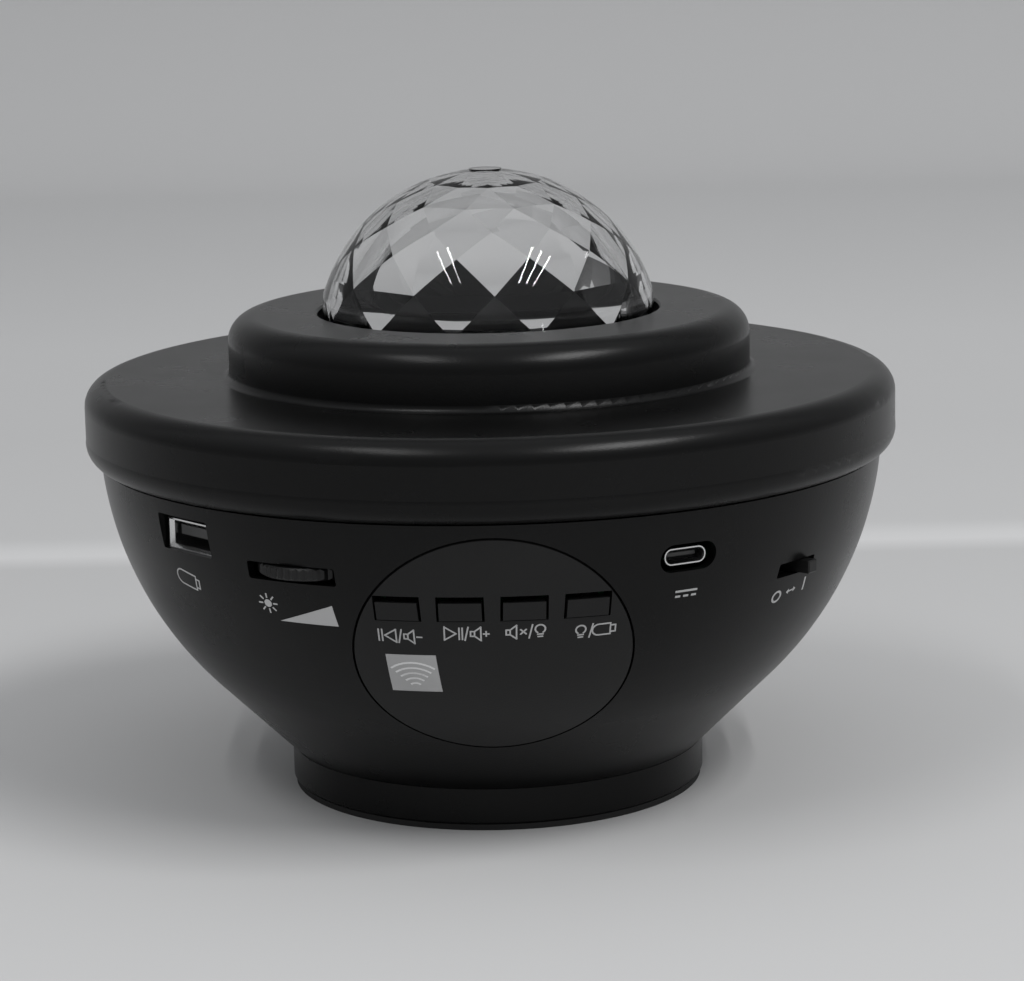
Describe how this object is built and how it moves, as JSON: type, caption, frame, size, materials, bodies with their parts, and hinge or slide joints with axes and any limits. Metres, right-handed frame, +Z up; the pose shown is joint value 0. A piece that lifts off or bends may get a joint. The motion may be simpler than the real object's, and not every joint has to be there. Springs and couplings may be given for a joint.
{
  "type": "star projector",
  "caption": "Round black star projector lamp with a clear faceted dome, angled control panel with keys, dial and switch, and a loudspeaker in its base.",
  "frame": {"origin": "middle of the underside, on the plane the foot pad stands on", "axes": "+Z up; -Y towards the control panel (the front); +X to the right seen from the front"},
  "size_m": [0.1682, 0.1682, 0.1286],
  "materials": {
    "case_black": "fine satin grain",
    "trim_black": "matte",
    "rubber_black": "matte",
    "screw_steel": "zinc plated",
    "socket_steel": "nickel plated",
    "dome_clear": "clear moulded, polished",
    "lens_coated": "coated, polished",
    "lens_clear": "clear, polished",
    "barrel_brass": "turned",
    "gear_white": "as moulded",
    "sink_aluminium": "milled",
    "led_phosphor": "clear over phosphor",
    "board_green": "solder mask",
    "chip_black": "moulded",
    "capacitor_sleeve": "sleeved can",
    "window_grey": "translucent, satin",
    "speaker_steel": "black",
    "speaker_paper": "pressed paper",
    "speaker_ferrite": "ferrite"
  },
  "bodies": {
    "housing": {"bowl_housing": "case_black", "top_cover": "case_black", "base_cover": "case_black", "control_panel": "case_black", "lamp_deck": "trim_black", "lens_ring": "trim_black", "inner_frame": "trim_black", "lens_holder": "trim_black", "foot_pad": "rubber_black", "base_screws": "screw_steel", "case_screws": "screw_steel", "deck_screws": "screw_steel", "motor_screws": "screw_steel", "led_screws": "screw_steel", "board_screws": "screw_steel", "panel_screws": "screw_steel", "speaker_screws": "screw_steel", "spindle_clip": "screw_steel", "disc_spindle": "screw_steel", "motor_clamp": "screw_steel", "usb_a_shell": "socket_steel", "usb_c_shell": "socket_steel", "motor_can": "socket_steel", "dome_lens": "dome_clear", "nebula_lens": "lens_coated", "laser_lens": "lens_clear", "laser_grating": "lens_clear", "collimator_lens": "lens_clear", "laser_barrel": "barrel_brass", "heat_sink": "sink_aluminium", "led_board": "sink_aluminium", "led_chips": "led_phosphor", "main_board": "board_green", "key_board": "board_green", "board_chips": "chip_black", "ir_receiver": "chip_black", "dial_potentiometer": "chip_black", "power_switch": "chip_black", "tact_switches": "chip_black", "usb_a_tongue": "chip_black", "usb_c_tongue": "chip_black", "capacitors": "capacitor_sleeve", "ir_window": "window_grey", "speaker_frame": "speaker_steel", "speaker_cone": "speaker_paper", "speaker_magnet": "speaker_ferrite"},
    "dial": {"brightness_dial": "case_black", "dial_screw": "screw_steel"},
    "switch_slider": {"switch_knob": "case_black"},
    "wave_disc": {"wave_disc": "lens_clear"},
    "motor_drive": {"motor_shaft": "screw_steel", "motor_pinion": "gear_white"},
    "key_1": {"key_1": "case_black"},
    "plunger_1": {"plunger_1": "trim_black"},
    "key_2": {"key_2": "case_black"},
    "plunger_2": {"plunger_2": "trim_black"},
    "key_3": {"key_3": "case_black"},
    "plunger_3": {"plunger_3": "trim_black"},
    "key_4": {"key_4": "case_black"},
    "plunger_4": {"plunger_4": "trim_black"}
  },
  "joints": [
    {"name": "key_1_press", "type": "hinge", "parent": "housing", "child": "key_1", "pos_m": [-0.01759, -0.07357, 0.0513], "axis": [-0.9726, 0.2326, 0], "range_deg": [0, 6], "stiffness_Nm_per_rad": 0.03},
    {"name": "plunger_1_travel", "type": "slide", "parent": "housing", "child": "plunger_1", "axis": [0, 0.8805, 0.4741], "range_m": [0, 0.0003]},
    {"name": "key_2_press", "type": "hinge", "parent": "housing", "child": "key_2", "pos_m": [-0.00594, -0.07541, 0.0513], "axis": [-0.9969, 0.0785, 0], "range_deg": [0, 6], "stiffness_Nm_per_rad": 0.03},
    {"name": "plunger_2_travel", "type": "slide", "parent": "housing", "child": "plunger_2", "axis": [0, 0.8805, 0.4741], "range_m": [0, 0.0003]},
    {"name": "key_3_press", "type": "hinge", "parent": "housing", "child": "key_3", "pos_m": [0.00587, -0.07542, 0.0513], "axis": [-0.997, -0.0776, 0], "range_deg": [0, 6], "stiffness_Nm_per_rad": 0.03},
    {"name": "plunger_3_travel", "type": "slide", "parent": "housing", "child": "plunger_3", "axis": [0, 0.8805, 0.4741], "range_m": [0, 0.0003]},
    {"name": "key_4_press", "type": "hinge", "parent": "housing", "child": "key_4", "pos_m": [0.01753, -0.07359, 0.0513], "axis": [-0.9728, -0.2317, 0], "range_deg": [0, 6], "stiffness_Nm_per_rad": 0.03},
    {"name": "plunger_4_travel", "type": "slide", "parent": "housing", "child": "plunger_4", "axis": [0, 0.8805, 0.4741], "range_m": [0, 0.0003]},
    {"name": "dial_turn", "type": "hinge", "parent": "housing", "child": "dial", "pos_m": [-0.03383, -0.06128, 0.0599], "axis": [0, 0, 1], "range_deg": [-135, 135]},
    {"name": "switch_slide", "type": "slide", "parent": "housing", "child": "switch_slider", "axis": [-0.6468, -0.7627, 0], "range_m": [0, 0.004]},
    {"name": "wave_disc_turn", "type": "hinge", "parent": "housing", "child": "wave_disc", "pos_m": [0.009, 0.003, 0.0835], "axis": [0, 0, 1], "continuous": true},
    {"name": "motor_turn", "type": "hinge", "parent": "housing", "child": "motor_drive", "pos_m": [-0.01594, 0.0174, 0.0827], "axis": [0, 0, 1], "continuous": true}
  ],
  "couplings": [
    {"joint": "plunger_1_travel", "follows": "key_1_press", "m_per_rad": 0.002302},
    {"joint": "plunger_2_travel", "follows": "key_2_press", "m_per_rad": 0.0023513},
    {"joint": "plunger_3_travel", "follows": "key_3_press", "m_per_rad": 0.0023514},
    {"joint": "plunger_4_travel", "follows": "key_4_press", "m_per_rad": 0.0023024},
    {"joint": "motor_turn", "follows": "wave_disc_turn", "ratio": -5}
  ]
}
